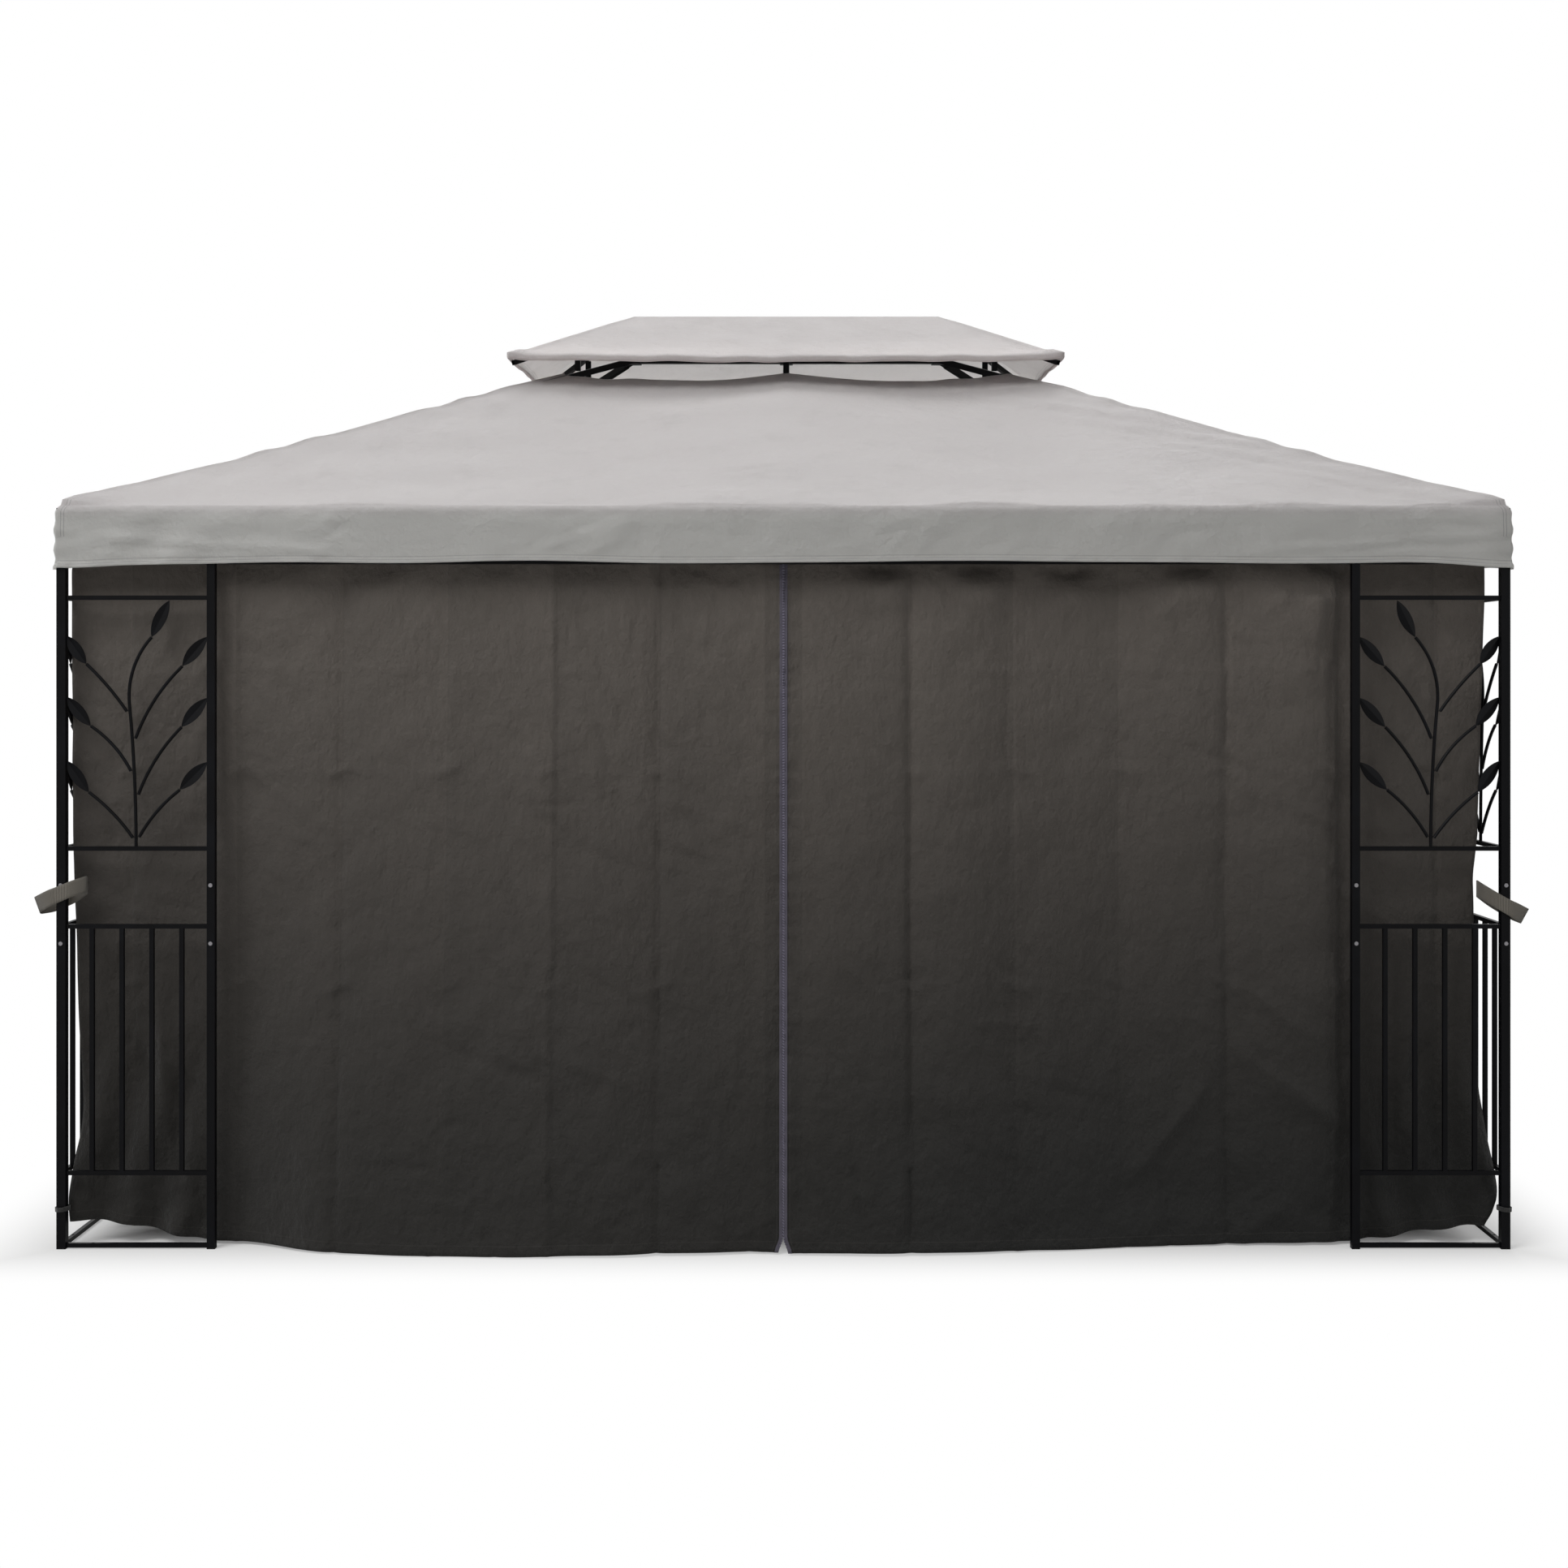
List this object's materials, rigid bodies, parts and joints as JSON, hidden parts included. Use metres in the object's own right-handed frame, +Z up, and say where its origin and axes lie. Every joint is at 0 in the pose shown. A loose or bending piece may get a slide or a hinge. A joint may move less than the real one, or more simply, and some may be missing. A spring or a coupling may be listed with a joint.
{
  "type": "garden gazebo",
  "caption": "Rectangular steel garden gazebo with leafy trellis corners, two-tier fabric roof with a valance, and sliding zipped curtains on every side.",
  "frame": {"origin": "on the ground, at the middle of the plan", "axes": "+X along the long side to the right as seen from the front, +Y to the back, +Z up"},
  "size_m": [4.0934, 3.004, 2.82],
  "materials": {
    "frame_steel": "satin black powder coat",
    "rail_steel": "satin black",
    "sleeve_steel": "zinc plated",
    "bolt_steel": "black oxide",
    "foot_plastic": "moulded",
    "canopy_cloth": "woven polyester, warm light grey",
    "curtain_cloth": "woven polyester, dark taupe",
    "strap_cloth": "woven strap with hook-and-loop end",
    "slider_metal": "black enamel"
  },
  "bodies": {
    "frame": {"baluster_panel_back_left": "frame_steel", "baluster_panel_back_right": "frame_steel", "baluster_panel_front_left": "frame_steel", "baluster_panel_front_right": "frame_steel", "baluster_panel_left_back": "frame_steel", "baluster_panel_left_front": "frame_steel", "baluster_panel_right_back": "frame_steel", "baluster_panel_right_front": "frame_steel", "beam_couplers": "frame_steel", "corner_bracket_back_left": "frame_steel", "corner_bracket_back_right": "frame_steel", "corner_bracket_front_left": "frame_steel", "corner_bracket_front_right": "frame_steel", "corner_post_back_left": "frame_steel", "corner_post_back_right": "frame_steel", "corner_post_front_left": "frame_steel", "corner_post_front_right": "frame_steel", "crown_frame": "frame_steel", "curtain_rails": "rail_steel", "eave_beam_back_left": "frame_steel", "eave_beam_back_right": "frame_steel", "eave_beam_front_left": "frame_steel", "eave_beam_front_right": "frame_steel", "eave_beam_left": "frame_steel", "eave_beam_right": "frame_steel", "hip_rafter_back_left": "frame_steel", "hip_rafter_back_right": "frame_steel", "hip_rafter_front_left": "frame_steel", "hip_rafter_front_right": "frame_steel", "leaf_panel_back_left": "frame_steel", "leaf_panel_back_right": "frame_steel", "leaf_panel_front_left": "frame_steel", "leaf_panel_front_right": "frame_steel", "leaf_panel_left_back": "frame_steel", "leaf_panel_left_front": "frame_steel", "leaf_panel_right_back": "frame_steel", "leaf_panel_right_front": "frame_steel", "main_canopy": "canopy_cloth", "main_ridge": "frame_steel", "mid_rafter_back": "frame_steel", "mid_rafter_front": "frame_steel", "panel_bolts": "bolt_steel", "post_feet": "foot_plastic", "tie_straps": "strap_cloth", "tube_sleeves": "sleeve_steel", "vent_canopy": "canopy_cloth", "vent_stubs": "frame_steel"},
    "curtain_back_left": {"curtain_back_left": "curtain_cloth"},
    "curtain_back_right": {"curtain_back_right": "curtain_cloth"},
    "curtain_front_left": {"curtain_front_left": "curtain_cloth"},
    "curtain_front_right": {"curtain_front_right": "curtain_cloth"},
    "curtain_left_back": {"curtain_left_back": "curtain_cloth"},
    "curtain_left_front": {"curtain_left_front": "curtain_cloth"},
    "curtain_right_back": {"curtain_right_back": "curtain_cloth"},
    "curtain_right_front": {"curtain_right_front": "curtain_cloth"},
    "zip_slider_back": {"zip_slider_back": "slider_metal"},
    "zip_slider_front": {"zip_slider_front": "slider_metal"},
    "zip_slider_left": {"zip_slider_left": "slider_metal"},
    "zip_slider_right": {"zip_slider_right": "slider_metal"}
  },
  "joints": [
    {"name": "curtain_back_left_slide", "type": "slide", "parent": "frame", "child": "curtain_back_left", "axis": [-1, 0, 0], "range_m": [0, 1.5], "deforming": ["curtain_back_left"]},
    {"name": "curtain_back_right_slide", "type": "slide", "parent": "frame", "child": "curtain_back_right", "axis": [1, 0, 0], "range_m": [0, 1.5], "deforming": ["curtain_back_right"]},
    {"name": "curtain_front_left_slide", "type": "slide", "parent": "frame", "child": "curtain_front_left", "axis": [-1, 0, 0], "range_m": [0, 1.5], "deforming": ["curtain_front_left"]},
    {"name": "curtain_front_right_slide", "type": "slide", "parent": "frame", "child": "curtain_front_right", "axis": [1, 0, 0], "range_m": [0, 1.5], "deforming": ["curtain_front_right"]},
    {"name": "curtain_left_back_slide", "type": "slide", "parent": "frame", "child": "curtain_left_back", "axis": [0, 1, 0], "range_m": [0, 1.03], "deforming": ["curtain_left_back"]},
    {"name": "curtain_left_front_slide", "type": "slide", "parent": "frame", "child": "curtain_left_front", "axis": [0, -1, 0], "range_m": [0, 1.03], "deforming": ["curtain_left_front"]},
    {"name": "curtain_right_back_slide", "type": "slide", "parent": "frame", "child": "curtain_right_back", "axis": [0, 1, 0], "range_m": [0, 1.03], "deforming": ["curtain_right_back"]},
    {"name": "curtain_right_front_slide", "type": "slide", "parent": "frame", "child": "curtain_right_front", "axis": [0, -1, 0], "range_m": [0, 1.03], "deforming": ["curtain_right_front"]},
    {"name": "zip_slider_back_travel", "type": "slide", "parent": "curtain_back_left", "child": "zip_slider_back", "axis": [0, 0, 1], "range_m": [0, 1.82]},
    {"name": "zip_slider_front_travel", "type": "slide", "parent": "curtain_front_left", "child": "zip_slider_front", "axis": [0, 0, 1], "range_m": [0, 1.82]},
    {"name": "zip_slider_left_travel", "type": "slide", "parent": "curtain_left_front", "child": "zip_slider_left", "axis": [0, 0, 1], "range_m": [0, 1.82]},
    {"name": "zip_slider_right_travel", "type": "slide", "parent": "curtain_right_front", "child": "zip_slider_right", "axis": [0, 0, 1], "range_m": [0, 1.82]}
  ]
}
